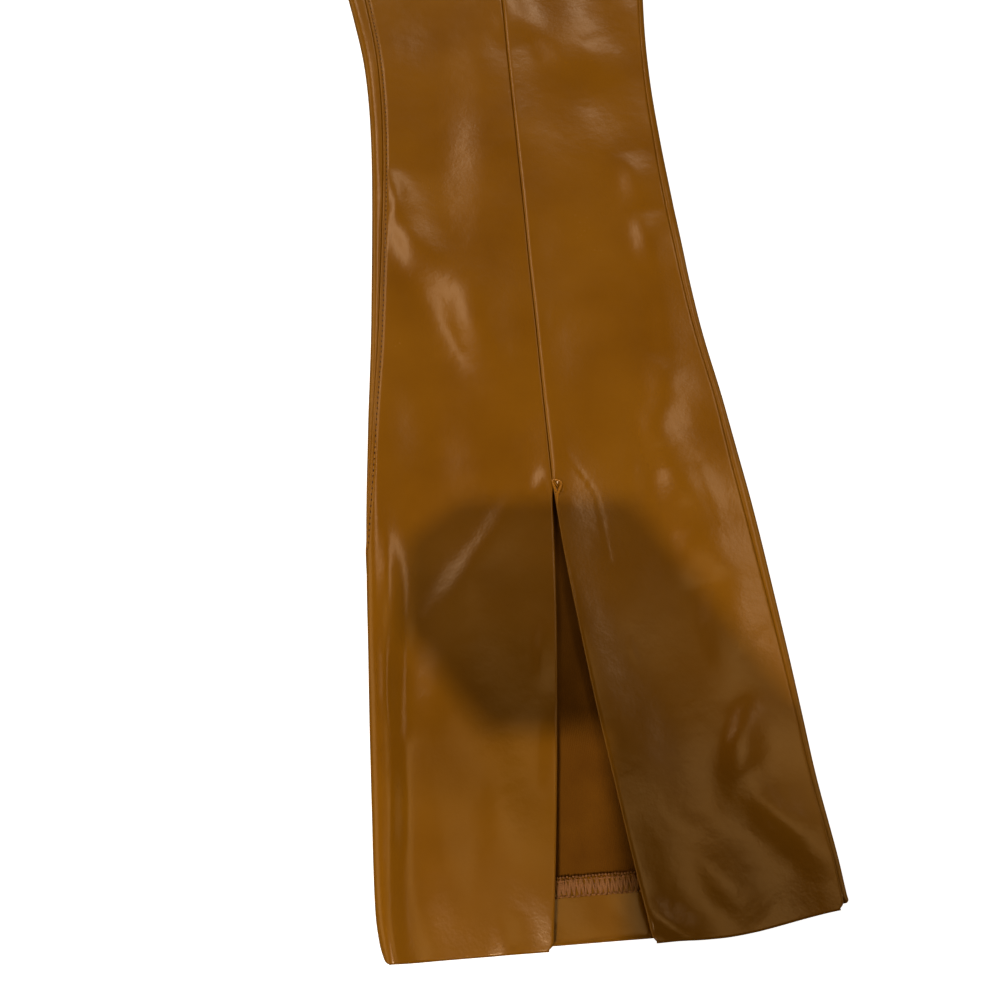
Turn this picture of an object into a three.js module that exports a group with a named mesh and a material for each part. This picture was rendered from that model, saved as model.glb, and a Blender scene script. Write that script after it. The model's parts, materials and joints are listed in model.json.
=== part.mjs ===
// Flared faux leather trousers, women's small, laid flat on a table with the front up.
// Millimetres, +Z up, waist towards +Y, hems towards -Y, the wearer's left leg on the +X side.
// Each leg is a flattened tube: two front panels that meet in a seam down the middle of the leg,
// and one back panel that rests flat and rolls up round both edges of the leg.
import * as THREE from 'three';

// Driving sizes
const wall = 1.2;
const seamGap = 0.3;
const splayAngle = THREE.MathUtils.degToRad(12);
const inseamLength = 788;
const frontRise = 226;
const bandHeight = 42;
const slitTop = 598;
const innerSlit = { spread: 18, power: 1.4 };
const outerSlit = { spread: 19.6, power: 1.3 };
const turnUpHeight = 24;
const turnUpWall = 1.0;
const backHemSetback = 2;
const outerHemLift = 7;
const frontWaistDip = 8;
const backWaistRise = 10;
const outerRollDepth = 3.2;
const rollReach = 22;
const seamOnHip = 0.523;

// The leg, level by level, one place of every list for each level. down: below the fork. inner
// and outer: from the centre seam to each edge. innerHigh, middleHigh and outerHigh: the
// thickness of the flat leg at its edges and between them. innerRoll: how far in from its edge the
// cloth on the inside of the leg has rolled over. inseam and outseam: how far each side seam lies
// in from its edge, over the top of the leg, or under it where negative.
const legLevels = {
  down: [0, 60, 130, 200, 260, 300, 340, 390, 450, 510, 560, 610, 670, 730, 770, 788],
  inner: [132, 122, 111, 100, 91, 84, 78.5, 76.5, 77.5, 79.5, 82, 84, 84.5, 84.5, 84, 81.5],
  outer: [121, 112, 102, 92.5, 85, 80, 77, 76, 77, 79.5, 84, 88, 91, 92.5, 94.6, 95],
  innerHigh: [5.6, 6.8, 6.8, 6.6, 6.4, 6.4, 6.4, 6.4, 6.4, 6.6, 6.8, 7.4, 8.6, 9.2, 9, 8.6],
  middleHigh: [5.6, 5.6, 5.5, 5.4, 5.4, 5.4, 5.4, 5.4, 5.4, 5.4, 5.4, 5.6, 5.6, 5.8, 6, 6],
  outerHigh: [6.6, 6.6, 6.6, 6.6, 6.6, 6.6, 6.8, 7, 7, 6.8, 6.8, 6.8, 6.8, 7, 7, 7],
  innerRoll: [3.6, 3.6, 3.6, 3.6, 3.6, 3.6, 3.6, 3.6, 3.6, 3.6, 4.2, 6, 7.5, 6.8, 5.5, 4.8],
  inseam: [3.8, 6, 8.5, 10, 10, 8.8, 7.5, 6.5, 5.2, 3.8, 2.2, 0.4, -1.8, -3, -3.2, -3.2],
  outseam: [3, 3, 3, 3, 3, 3, 3.4, 4, 4.8, 4.2, 4.2, 5.2, 4, 3, 2.6, 2.6],
};

// The hips, level by level. up: above the fork, on the centre front. sideX and sideY: where that
// level ends on the outer edge.
const hipLevels = {
  up: [0, 35, 70, 110, 150, 190, 226, 268],
  sideX: [247.5, 244, 238, 228, 214, 196, 178, 168],
  sideY: [52.6, 76, 100, 128, 160, 196, 229, 270],
};

// The largest folds of a leg, each a soft ridge or trough from one place to another, each place
// as down from the fork and across from the centre seam, outwards positive. halfWidth and rise
// are those of its middle, and bend is how far its middle lies aside of the straight line.
const folds = [
  { name: 'hip drape', from: [-165, -70], to: [-80, 50], halfWidth: 16, rise: 1.6, bend: 6 },
  { name: 'fork pull, high', from: [-16, -122], to: [-40, 0], halfWidth: 10, rise: 1.6, bend: -5 },
  { name: 'fork pull, middle', from: [14, -122], to: [66, -12], halfWidth: 11, rise: 1.9, bend: 7 },
  { name: 'fork pull, low', from: [58, -110], to: [152, -36], halfWidth: 10, rise: 1.4, bend: 8 },
  { name: 'outer thigh', from: [52, 92], to: [190, 32], halfWidth: 13, rise: 1.7, bend: -8 },
  { name: 'thigh hollow', from: [160, -32], to: [262, -6], halfWidth: 14, rise: -0.9, bend: 4 },
  { name: 'thigh outside', from: [200, 70], to: [300, 62], halfWidth: 11, rise: 0.9, bend: 5 },
  { name: 'thigh diagonal', from: [276, 4], to: [352, 52], halfWidth: 10, rise: 1.3, bend: 4 },
  { name: 'knee inside', from: [404, -72], to: [478, -50], halfWidth: 8, rise: 0.9, bend: -3 },
  { name: 'knee diagonal', from: [436, -74], to: [562, -12], halfWidth: 15, rise: 2.1, bend: 8 },
  { name: 'knee outside', from: [456, 60], to: [575, 58], halfWidth: 9, rise: 1, bend: 5 },
  { name: 'slit side pull', from: [590, -10], to: [664, -66], halfWidth: 8, rise: 1.1, bend: 3 },
  { name: 'calf diagonal', from: [556, 50], to: [704, 80], halfWidth: 13, rise: 1.9, bend: 4 },
  { name: 'flare hollow', from: [640, 32], to: [752, 46], halfWidth: 15, rise: -0.8, bend: 3 },
  { name: 'flare upright', from: [664, -28], to: [800, -46], halfWidth: 9, rise: 1.7, bend: 4 },
  { name: 'flare streak', from: [690, 78], to: [752, 55], halfWidth: 7, rise: 1.2, bend: -2 },
  { name: 'outer corner', from: [738, 66], to: [778, 92], halfWidth: 8, rise: 1.2, bend: 3 },
  { name: 'slit corner', from: [772, 16], to: [796, 52], halfWidth: 6, rise: 1.4, bend: -2 },
];

// Rows of each panel, from the waistband's lower edge to the hem, by distance below the fork
const forkRow = 6;
const panelRows = [
  -frontRise, -198, -168, -138, -108, -78, -50, -26, -forkRow,
  forkRow, 24, 44, 66, 90, 115, 140, 165, 190, 215, 240, 264, 286, 308, 330, 352, 374, 398, 422, 444,
  466, 488, 510, 532, 552, 568, 584,
  slitTop, 610, 626, 644, 662, 680, 698, 715, 731, 746, 759, 770, 780, inseamLength,
];
const bandRows = [-frontRise, -240, -256, -frontRise - bandHeight];

const legDirection = new THREE.Vector2(Math.sin(splayAngle), -Math.cos(splayAngle));
const legOutward = new THREE.Vector2(Math.cos(splayAngle), Math.sin(splayAngle));

// A smooth curve through one list of a table, read at a place along another
function readTable(table, along, column, place) {
  const places = table[along];
  const values = table[column];
  const last = places.length - 1;
  const at = THREE.MathUtils.clamp(place, places[0], places[last]);
  let row = 0;
  while (row < last - 1 && places[row + 1] < at) row += 1;
  const slope = (from, to) => (values[to] - values[from]) / (places[to] - places[from]);
  const start = slope(Math.max(row - 1, 0), row + 1);
  const end = slope(row, Math.min(row + 2, last));
  const span = places[row + 1] - places[row];
  const t = (at - places[row]) / span;
  const s = 1 - t;
  return s * s * (1 + 2 * t) * values[row]
    + t * t * (3 - 2 * t) * values[row + 1]
    + s * s * t * span * start
    - t * t * s * span * end;
}

// A point of the leg's plane, from its distance below the fork and out from the centre seam
function legPoint(down, across) {
  const seamFromFork = legLevels.inner[0];
  return new THREE.Vector2(seamGap / 2, 0)
    .addScaledVector(legDirection, down)
    .addScaledVector(legOutward, seamFromFork + across);
}

// The length of a quarter of the flattened roll along an edge
function rollArc(depth, height) {
  return (Math.PI / 2) * Math.hypot(depth, height / 2) / Math.SQRT2;
}

// One level across the garment, from its inner edge to its outer edge. The inner edge is the
// centre front above the fork, where nothing rolls, and the inside of the leg below it.
function levelAt(down) {
  const onLeg = down > 0;
  const leg = (column) => readTable(legLevels, 'down', column, down);
  const hip = (column) => readTable(hipLevels, 'up', column, -down);
  const start = onLeg ? legPoint(down, -leg('inner')) : new THREE.Vector2(0, -down);
  const end = onLeg ? legPoint(down, leg('outer')) : new THREE.Vector2(hip('sideX'), hip('sideY'));
  const width = start.distanceTo(end);
  const high = { inner: leg('innerHigh'), middle: leg('middleHigh'), outer: leg('outerHigh') };
  const innerDepth = onLeg ? leg('innerRoll') : 0;
  return {
    down,
    start,
    end,
    width,
    high,
    seam: onLeg ? leg('inner') : width * seamOnHip,
    inner: { depth: innerDepth, arc: onLeg ? rollArc(innerDepth, high.inner) : 0 },
    outer: { depth: outerRollDepth, arc: rollArc(outerRollDepth, high.outer) },
    inseam: onLeg ? leg('inseam') : 0,
    outseam: leg('outseam'),
  };
}

// The height of one fold at a place. It is widest past its middle, steeper on one flank, and
// dies away at both ends.
function ridgeHeight(place, fold) {
  const start = new THREE.Vector2(...fold.from);
  const run = new THREE.Vector2(...fold.to).sub(start);
  const offset = place.clone().sub(start);
  const share = THREE.MathUtils.clamp(offset.dot(run) / run.lengthSq(), 0, 1);
  const bow = fold.bend * 4 * share * (1 - share);
  const aside = run.cross(offset) / run.length() - bow;
  const width = fold.halfWidth * (0.75 + 0.5 * share) * (1 + 0.3 * Math.tanh(aside / fold.halfWidth));
  return fold.rise * Math.sin(Math.PI * share) ** 1.2 * Math.exp(-((aside / width) ** 2));
}

// The height that all the folds add at a point of the plane
function foldHeight(point) {
  const fromFork = point.clone().sub(legPoint(0, 0));
  const place = new THREE.Vector2(fromFork.dot(legDirection), fromFork.dot(legOutward));
  return folds.reduce((height, fold) => height + ridgeHeight(place, fold), 0);
}

// The point of the plane that lies a distance across a level, measured from its inner edge
function acrossLevel(level, across) {
  return level.start.clone().lerp(level.end, across / level.width);
}

// The height of the garment's upper face, measured from either edge
function topHeight(level, side, across) {
  const fromInner = side === 'inner' ? across : level.width - across;
  const fromOuter = level.width - fromInner;
  const nearInner = Math.exp(-((fromInner / rollReach) ** 2));
  const nearOuter = Math.exp(-((fromOuter / rollReach) ** 2));
  const { inner, middle, outer } = level.high;
  return middle + (inner - middle) * nearInner + (outer - middle) * nearOuter
    + foldHeight(acrossLevel(level, fromInner));
}

// How far the waist bends down in front and up behind, and the hem rises at the outer edge
function lengthwiseShift(level, fromInner, onTop) {
  if (level.down <= 0) {
    const climb = Math.min(-level.down / frontRise, 1);
    const share = (1 - (fromInner / level.width) ** 2) ** 2;
    return (onTop ? -frontWaistDip : backWaistRise) * climb * climb * share;
  }
  const nearHem = Math.max(level.down - slitTop, 0) / (inseamLength - slitTop);
  const outward = THREE.MathUtils.smoothstep(fromInner - level.seam, 45, 100);
  return outerHemLift * nearHem * nearHem * outward;
}

// A point of the outer skin. reach is measured round the skin from the edge named by side,
// positive over the top and negative underneath.
function skinPoint(down, side, reach) {
  const level = levelAt(down);
  const roll = level[side];
  const length = Math.abs(reach);
  const onTop = reach >= 0;
  const onRoll = length < roll.arc;
  const turn = onRoll ? (length / roll.arc) * (Math.PI / 2) : Math.PI / 2;
  const across = onRoll ? roll.depth * (1 - Math.cos(turn)) : roll.depth + length - roll.arc;
  const top = topHeight(level, side, Math.max(across, roll.depth));
  const sine = onTop ? Math.sin(turn) : -Math.sin(turn);
  const fromInner = side === 'inner' ? across : level.width - across;
  const plane = acrossLevel(level, fromInner);
  const shift = lengthwiseShift(level, fromInner, onTop);
  return new THREE.Vector3(plane.x, plane.y + shift, (top / 2) * (1 + sine));
}

// The outward direction of the skin at a point
function skinNormal(down, side, reach) {
  const step = 0.4;
  const along = skinPoint(down + step, side, reach).sub(skinPoint(down - step, side, reach));
  const round = skinPoint(down, side, reach + step).sub(skinPoint(down, side, reach - step));
  const normal = along.cross(round).normalize();
  return side === 'inner' ? normal : normal.negate();
}

// The distance round the skin at which a seam lies, from its distance in from the edge
function reachOf(roll, inset) {
  const depth = Math.abs(inset);
  const reach = depth < roll.depth
    ? (Math.acos(1 - depth / roll.depth) / (Math.PI / 2)) * roll.arc
    : roll.arc + depth - roll.depth;
  return inset < 0 ? -reach : reach;
}

// Half the opening of the front slit at a level, on its inner and its outer side
function slitHalf(down, slit) {
  const share = Math.max(down - slitTop, 0) / (inseamLength - slitTop);
  return seamGap / 2 + slit.spread * share ** slit.power;
}

// Evenly spaced places from one reach to another, without the last one
function spaced(from, to, count) {
  return Array.from({ length: count }, (_, i) => from + ((to - from) * i) / count);
}

// The places across each panel at one level, each a side and a reach from it
function frontInnerPlaces(down) {
  const level = levelAt(down);
  const start = reachOf(level.inner, level.inseam) + seamGap / 2;
  const end = reachOf(level.inner, level.seam) - slitHalf(down, innerSlit);
  const lead = start + 14;
  return [...spaced(start, lead, 4), ...spaced(lead, end, 6), end].map((reach) => ['inner', reach]);
}

function frontOuterPlaces(down) {
  const level = levelAt(down);
  const start = reachOf(level.outer, level.outseam) + seamGap / 2;
  const end = reachOf(level.outer, level.width - level.seam) - slitHalf(down, outerSlit);
  const lead = start + 8;
  return [...spaced(start, lead, 3), ...spaced(lead, end, 6), end].map((reach) => ['outer', reach]);
}

function backPlaces(down) {
  const level = levelAt(down);
  const rest = 3;
  const foldIn = 8;
  const outerSeam = reachOf(level.outer, level.outseam) - seamGap / 2;
  const outerRest = -level.outer.arc - rest;
  const innerRest = -level.inner.arc - foldIn;
  const innerSeam = reachOf(level.inner, level.inseam) - seamGap / 2;
  const flat = level.width - level.outer.depth - level.inner.depth - rest - foldIn;
  const outer = [...spaced(outerSeam, outerRest, 5), ...spaced(outerRest, outerRest - flat, 3)];
  const inner = [...spaced(innerRest, innerSeam, 6), innerSeam];
  return [...outer.map((reach) => ['outer', reach]), ...inner.map((reach) => ['inner', reach])];
}

// A closed sheet between two grids of points, each a list of rows
function closedSheet(outerRows, innerRows) {
  const rows = outerRows.length;
  const columns = outerRows[0].length;
  const positions = [...outerRows.flat(), ...innerRows.flat()].flatMap((point) => point.toArray());
  const outer = (row, column) => row * columns + column;
  const inner = (row, column) => rows * columns + outer(row, column);
  const index = [];
  const quad = (a, b, c, d) => index.push(a, b, c, a, c, d);
  for (let row = 0; row < rows - 1; row += 1) {
    for (let column = 0; column < columns - 1; column += 1) {
      quad(outer(row, column), outer(row + 1, column), outer(row + 1, column + 1), outer(row, column + 1));
      quad(inner(row, column), inner(row, column + 1), inner(row + 1, column + 1), inner(row + 1, column));
    }
    const last = columns - 1;
    quad(outer(row, 0), inner(row, 0), inner(row + 1, 0), outer(row + 1, 0));
    quad(outer(row, last), outer(row + 1, last), inner(row + 1, last), inner(row, last));
  }
  for (let column = 0; column < columns - 1; column += 1) {
    const last = rows - 1;
    quad(outer(0, column), outer(0, column + 1), inner(0, column + 1), inner(0, column));
    quad(outer(last, column), inner(last, column), inner(last, column + 1), outer(last, column + 1));
  }
  return faceOutwards(positions, index);
}

// A geometry whose triangles all point out, whichever way its grids were walked
function faceOutwards(positions, index) {
  const corner = (i) => new THREE.Vector3().fromArray(positions, 3 * i);
  let volume = 0;
  for (let i = 0; i < index.length; i += 3) {
    volume += corner(index[i]).dot(corner(index[i + 1]).cross(corner(index[i + 2])));
  }
  const geometry = new THREE.BufferGeometry();
  geometry.setAttribute('position', new THREE.Float32BufferAttribute(positions, 3));
  geometry.setIndex(volume < 0 ? [...index].reverse() : index);
  geometry.computeVertexNormals();
  return geometry;
}

// The same point on the wearer's right, which is the mirror image
function onSide(point, leg) {
  return leg === 'left' ? point : new THREE.Vector3(-point.x, point.y, point.z);
}

// A wall whose outer face follows the skin and whose inner face lies one wall further in
function skinWall(rows, placesAt, leg) {
  const grid = (depth) => rows.map((down) => placesAt(down).map(([side, reach]) => {
    const point = skinPoint(down, side, reach);
    return onSide(point.addScaledVector(skinNormal(down, side, reach), -depth), leg);
  }));
  return closedSheet(grid(0), grid(wall));
}

const leatherColour = 0x764818;
const backingColour = 0x6a4012;

function leather(colour) {
  return new THREE.MeshStandardMaterial({ color: colour, roughness: 0.36, metalness: 0 });
}

const group = new THREE.Group();

function addPiece(name, geometry, colour) {
  const mesh = new THREE.Mesh(geometry, leather(colour));
  mesh.name = name;
  group.add(mesh);
}

// The strip of the back panel that is turned up inside the hem, seen through the front slit
function turnUp(leg) {
  const bottom = wall + seamGap;
  const rows = [inseamLength - turnUpHeight, inseamLength - turnUpHeight / 2, inseamLength];
  const grid = (height) => rows.map((down) => {
    const level = levelAt(down);
    const margin = 1.5;
    const from = -level.outer.arc - margin;
    const to = from - (level.width - level.outer.depth - level.inner.depth - 2 * margin);
    return [...spaced(from, to, 6), to].map((reach) => {
      const point = skinPoint(down, 'outer', reach);
      return onSide(new THREE.Vector3(point.x, point.y + backHemSetback, height), leg);
    });
  });
  return closedSheet(grid(bottom), grid(bottom + turnUpWall));
}

// The back panel ends a little short of the front at the hem
function backWall(leg) {
  const hemRows = panelRows.filter((down) => down > slitTop).length;
  const shortened = panelRows.map((down, i) => {
    const row = i - (panelRows.length - 1 - hemRows);
    return row > 0 ? down - backHemSetback * (row / hemRows) : down;
  });
  return skinWall(shortened, backPlaces, leg);
}

for (const leg of ['left', 'right']) {
  addPiece(`front_inner_${leg}`, skinWall(panelRows, frontInnerPlaces, leg), leatherColour);
  addPiece(`front_outer_${leg}`, skinWall(panelRows, frontOuterPlaces, leg), leatherColour);
  addPiece(`back_${leg}`, backWall(leg), leatherColour);
  addPiece(`back_hem_turnup_${leg}`, turnUp(leg), backingColour);
}

// The waistband, a flat band in two halves that meet at the side seams and run across both legs
function band(halfPlaces) {
  const grid = (depth) => bandRows.map((down) => {
    const half = halfPlaces(down).map(([side, reach]) => skinPoint(down, side, reach)
      .addScaledVector(skinNormal(down, side, reach), -depth)
      .add(new THREE.Vector3(0, seamGap, 0)));
    const centre = half[half.length - 1];
    centre.x = 0;
    const mirrored = half.slice(0, -1).reverse().map((point) => onSide(point, 'right'));
    return [...half, ...mirrored];
  });
  return closedSheet(grid(0), grid(wall));
}

function bandPlaces(down, direction) {
  const level = levelAt(down);
  const seam = reachOf(level.outer, level.outseam);
  const start = seam + (direction * seamGap) / 2;
  const lead = direction > 0 ? start + 8 : -level.outer.arc - 3;
  const end = direction * (level.outer.arc + level.width - level.outer.depth);
  return [...spaced(start, lead, direction > 0 ? 2 : 5), ...spaced(lead, end, 4), end]
    .map((reach) => ['outer', reach]);
}

addPiece('waistband_front', band((down) => bandPlaces(down, 1)), leatherColour);
addPiece('waistband_back', band((down) => bandPlaces(down, -1)), leatherColour);

// The origin is under the middle of the garment, on the surface that it lies on
const box = new THREE.Box3().setFromObject(group);
const middle = box.getCenter(new THREE.Vector3());
group.position.set(-middle.x, -middle.y, -box.min.z);
group.updateMatrixWorld(true);

export default group;
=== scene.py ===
# Flared trousers in glossy tan faux leather, laid flat on a pale table with the front up.
# The photo's leg is the wearer's left one, on +X. Tables and sizes are in millimetres.
import json
import math
import bmesh
import bpy
import numpy as np
from mathutils import Matrix, Vector

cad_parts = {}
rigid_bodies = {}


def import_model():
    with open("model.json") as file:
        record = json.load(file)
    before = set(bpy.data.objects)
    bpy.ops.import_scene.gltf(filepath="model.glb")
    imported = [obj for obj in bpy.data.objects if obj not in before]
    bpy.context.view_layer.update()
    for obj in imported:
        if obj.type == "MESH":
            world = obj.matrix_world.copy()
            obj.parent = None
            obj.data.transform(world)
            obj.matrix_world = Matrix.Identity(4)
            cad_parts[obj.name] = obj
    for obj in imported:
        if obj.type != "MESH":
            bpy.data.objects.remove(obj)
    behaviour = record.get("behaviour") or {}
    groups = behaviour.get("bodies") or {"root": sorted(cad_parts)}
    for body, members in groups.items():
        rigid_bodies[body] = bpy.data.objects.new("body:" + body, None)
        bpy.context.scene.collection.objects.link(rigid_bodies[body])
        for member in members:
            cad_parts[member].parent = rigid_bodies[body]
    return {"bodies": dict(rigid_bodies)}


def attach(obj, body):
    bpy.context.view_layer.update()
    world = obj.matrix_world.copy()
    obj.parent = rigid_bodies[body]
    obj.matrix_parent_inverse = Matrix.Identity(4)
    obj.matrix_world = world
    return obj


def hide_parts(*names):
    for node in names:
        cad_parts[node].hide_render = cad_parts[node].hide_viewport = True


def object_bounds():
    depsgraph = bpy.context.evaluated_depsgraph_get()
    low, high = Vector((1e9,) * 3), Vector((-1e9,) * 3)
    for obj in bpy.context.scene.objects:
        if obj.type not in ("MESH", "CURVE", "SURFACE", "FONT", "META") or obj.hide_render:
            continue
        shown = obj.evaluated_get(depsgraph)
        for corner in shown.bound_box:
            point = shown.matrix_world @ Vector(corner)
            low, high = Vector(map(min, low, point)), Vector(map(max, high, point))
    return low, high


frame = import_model()
cad_low, cad_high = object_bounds()
root = next(iter(frame["bodies"]))

# Back panels. Each leg has one, cut in one piece from waistband to hem. It lies flat on the
# table and rolls up round both edges of the leg, where it meets the fronts at the side seams.
# The cloth is a knit with a glossy coated face: coat outside, suede-like backing inside.
MM = 0.001
SPLAY = math.radians(12)
INSEAM = 788
FRONT_RISE = 226
BAND = 42
WAIST_DIP = 8
WAIST_RISE = 10
SEAM_GAP = 0.3
SLIT_TOP = 598
INNER_SLIT = (17.2, 1.4, 0.8)
OUTER_SLIT = (19.6, 1.3, 0.0)
SLIT_EASE = 2.5
HEM_LIFT = 7
HEM_LIFT_FROM = 45
HEM_LIFT_RUN = 55
BACK_SETBACK = 2
TUBE_CORNER = 3.0
TUBE_CORNER_RUN = 8.0
TURN_UP = 24
CLOTH = 0.9
OUTER_ROLL = 3.2
ROLL_REACH = 22
SEAM_ON_HIP = 0.523
WAIST_TOP = FRONT_RISE + BAND + WAIST_RISE + SEAM_GAP
FORK_Y = cad_high.y / MM - WAIST_TOP

LEG_DOWN = np.array([math.sin(SPLAY), -math.cos(SPLAY)])
LEG_OUT = np.array([math.cos(SPLAY), math.sin(SPLAY)])

LEG = {
    "down": [0, 60, 130, 200, 260, 300, 340, 390, 450, 510, 560, 610, 670, 730, 770, 788],
    "inner": [132, 122, 111, 100, 91, 84, 78.5, 76.5, 77.5, 79.5, 82, 84, 84.5, 84.5, 84, 81.5],
    "outer": [121, 112, 102, 92.5, 85, 80, 77, 76, 77, 79.5, 84, 88, 91, 92.5, 94.6, 95],
    "inner_high": [5.6, 6.8, 6.8, 6.6, 6.4, 6.4, 6.4, 6.4, 6.4, 6.6, 6.8, 7.4, 8.6, 9.2, 9.0, 8.6],
    "middle_high": [5.6, 5.6, 5.5, 5.4, 5.4, 5.4, 5.4, 5.4, 5.4, 5.4, 5.4, 5.6, 5.6, 5.8, 6.0, 6.0],
    "outer_high": [6.6, 6.6, 6.6, 6.6, 6.6, 6.6, 6.8, 7.0, 7.0, 6.8, 6.8, 6.8, 6.8, 7.0, 7.0, 7.0],
    "inner_roll": [3.6, 3.6, 3.6, 3.6, 3.6, 3.6, 3.6, 3.6, 3.6, 3.6, 4.2, 6.0, 7.5, 6.8, 5.5, 4.8],
    "inner_reach": [22, 22, 22, 22, 22, 22, 22, 22, 22, 22, 20, 15, 11, 10, 11, 12],
    "inseam": [3.8, 6.0, 8.5, 10, 10, 8.8, 7.5, 6.5, 5.2, 3.8, 2.2, 0.4, -1.8, -3.0, -3.2, -3.2],
    "outseam": [3.0, 3.0, 3.0, 3.0, 3.0, 3.0, 3.4, 4.0, 4.8, 4.2, 4.2, 5.2, 4.0, 3.0, 2.6, 2.6],
}
HIP = {
    "up": [0, 35, 70, 110, 150, 190, 226, 268],
    "side_x": [247.5, 244, 238, 228, 214, 196, 178, 168],
    "side_y": [52.6, 76, 100, 128, 160, 196, 229, 270],
}

# Folds of the left leg: from a place to a place, each as down from the fork and across from the
# centre seam, then its half width, its rise and how far it bends aside. Dents are short ones
# left by handling. The right leg has much the same ones, each a little moved and changed.
FOLDS = np.array([
    (-165, -70, -80, 50, 16, 1.6, 6),
    (-16, -122, -40, 0, 10, 1.6, -5),
    (14, -122, 66, -12, 11, 1.9, 7),
    (58, -110, 152, -36, 10, 1.4, 8),
    (52, 92, 190, 32, 13, 1.7, -8),
    (160, -32, 262, -6, 14, -0.9, 4),
    (200, 70, 300, 62, 11, 0.9, 5),
    (290, 0, 364, 46, 13, 1.7, 3),
    (404, -72, 478, -50, 8, 0.9, -3),
    (434, -70, 560, -6, 17, 2.9, 7),
    (456, 60, 575, 58, 9, 1.0, 5),
    (590, -10, 664, -66, 8, 1.1, 3),
    (556, 50, 704, 80, 13, 1.9, 4),
    (640, 32, 752, 46, 15, -0.8, 3),
    (690, -30, 800, -44, 9, 1.0, 3),
    (690, 78, 752, 55, 7, 1.2, -2),
    (738, 66, 778, 92, 8, 1.2, 3),
    (772, 16, 796, 52, 6, 1.4, -2),
])
DENTS = np.array([
    (300, -4, 330, 6, 9, 0.7, 1),
    (330, 44, 362, 56, 10, 0.9, -1),
    (380, -52, 460, -46, 10, 0.6, 1),
    (408, 56, 448, 63, 11, 1.4, 1),
    (446, 60, 486, 64, 10, 1.6, -1),
    (530, 54, 572, 60, 11, 1.7, 1),
    (556, 48, 592, 54, 10, 1.7, 0),
    (582, 52, 622, 58, 11, 2.3, 1),
    (612, 56, 650, 62, 10, 1.9, -1),
    (646, 60, 700, 66, 10, 1.5, 1),
    (410, -66, 450, -62, 8, 1.3, 1),
    (444, -60, 488, -50, 9, 0.8, -1),
    (496, -44, 540, -22, 9, 0.6, 2),
    (586, -1, 604, -8, 5, 0.7, 0),
    (658, -10, 690, -12, 5, 0.8, 0),
    (696, -10, 732, -13, 5, 0.9, 1),
    (772, -34, 796, -36, 6, 1.0, 0),
    (730, 64, 764, 80, 10, 1.1, 2),
    (752, 42, 784, 64, 9, 1.0, -2),
    (698, 71, 732, 58, 6, 0.8, -1),
    (606, -75, 668, -76, 4, 1.2, 1),
    (656, -76, 716, -77, 4, 1.5, -1.5),
    (706, -77, 762, -79, 4, 1.4, 1.5),
    (752, -79, 802, -75, 4, 1.3, -1),
    (624, -68, 706, -68, 6, -1.3, 1.5),
    (696, -68, 786, -69, 6, -1.5, -1.5),
])
SMALL_FOLDS = 70
SMALL_LENGTH = (14, 46)
SMALL_WIDTH = (2.2, 5.5)
SMALL_RISE = (0.05, 0.28)
WAVES = 16
WAVE_LENGTH = (26, 110)
WAVE_SLOPE = 0.024
WAVE_STRETCH = 0.6
EDGE_STAND = 1.2
EDGE_PEAK = 2.2
EDGE_SPREAD = (3.0, 12.0)
INNER_STAND = 0.2
INNER_SPREAD = 5.0


def read(table, column, place):
    """A smooth curve through one column of a table, read along its first column."""
    x = np.array(next(iter(table.values())), float)
    y = np.array(table[column], float)
    slope = np.empty_like(y)
    slope[1:-1] = (y[2:] - y[:-2]) / (x[2:] - x[:-2])
    slope[0] = (y[1] - y[0]) / (x[1] - x[0])
    slope[-1] = (y[-1] - y[-2]) / (x[-1] - x[-2])
    at = np.clip(place, x[0], x[-1])
    row = np.clip(np.searchsorted(x, at, side="right") - 1, 0, len(x) - 2)
    span = x[row + 1] - x[row]
    t = (at - x[row]) / span
    s = 1 - t
    value = s * s * (1 + 2 * t) * y[row] + t * t * (3 - 2 * t) * y[row + 1]
    return value + s * s * t * span * slope[row] - t * t * s * span * slope[row + 1]


def leg_point(down, across):
    """A point of the table, from its distance below the fork and out from the centre seam."""
    start = np.array([SEAM_GAP / 2, FORK_Y])
    reach = LEG["inner"][0] + across
    return start + down[..., None] * LEG_DOWN + reach[..., None] * LEG_OUT


def level(down):
    """The levels across the garment at these distances below the fork, one row each."""
    on_leg = down > 0
    inner = read(LEG, "inner", down)
    hip_x = read(HIP, "side_x", -down)
    hip_y = FORK_Y + read(HIP, "side_y", -down)
    centre = np.stack([0 * down, FORK_Y - down], -1)
    start = np.where(on_leg[..., None], leg_point(down, -inner), centre)
    leg_end = leg_point(down, read(LEG, "outer", down))
    end = np.where(on_leg[..., None], leg_end, np.stack([hip_x, hip_y], -1))
    width = np.linalg.norm(end - start, axis=-1)
    inner_high = read(LEG, "inner_high", down)
    outer_high = read(LEG, "outer_high", down)
    inner_depth = np.where(on_leg, read(LEG, "inner_roll", down), 0.0)
    quarter = math.pi / 2 / math.sqrt(2)
    return {
        "down": down,
        "start": start,
        "end": end,
        "width": width,
        "inner_high": inner_high,
        "middle_high": read(LEG, "middle_high", down),
        "outer_high": outer_high,
        "seam": np.where(on_leg, inner, width * SEAM_ON_HIP),
        "inner_depth": inner_depth,
        "inner_reach": read(LEG, "inner_reach", down),
        "outer_depth": np.full_like(width, OUTER_ROLL),
        "inner_arc": np.where(on_leg, quarter * np.hypot(inner_depth, inner_high / 2), 0),
        "outer_arc": quarter * np.hypot(OUTER_ROLL, outer_high / 2),
        "inseam": np.where(on_leg, read(LEG, "inseam", down), 0),
        "outseam": read(LEG, "outseam", down),
    }


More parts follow.
